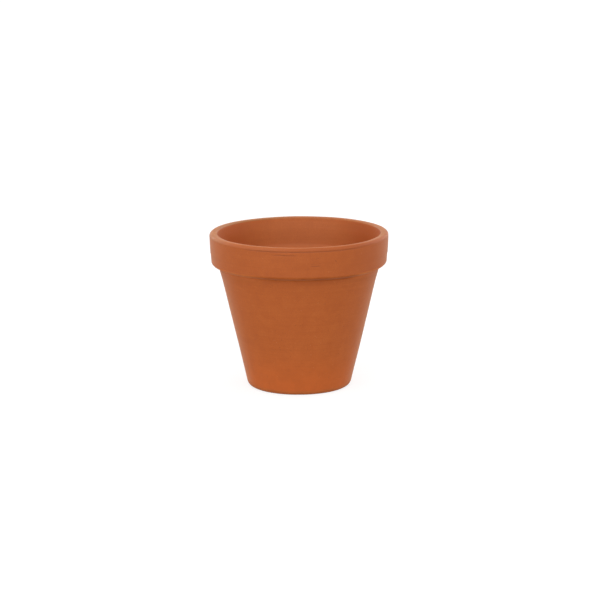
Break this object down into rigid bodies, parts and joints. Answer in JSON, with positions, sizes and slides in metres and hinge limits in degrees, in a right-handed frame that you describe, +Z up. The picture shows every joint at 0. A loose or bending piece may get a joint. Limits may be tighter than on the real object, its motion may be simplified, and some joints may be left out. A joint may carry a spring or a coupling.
{
  "type": "plant pot",
  "caption": "Tapered round clay flowerpot with a heavy raised collar at the rim, open top and a drain hole in the floor; holds soil and a plant.",
  "frame": {"origin": "centre of the foot, on the plane the pot stands on", "axes": "+Z up along the pot's axis of revolution; X and Y are free, since the pot is round"},
  "size_m": [0.155, 0.155, 0.1352],
  "materials": {
    "terracotta": "matte"
  },
  "bodies": {
    "root": {"pot": "terracotta"}
  },
  "joints": []
}
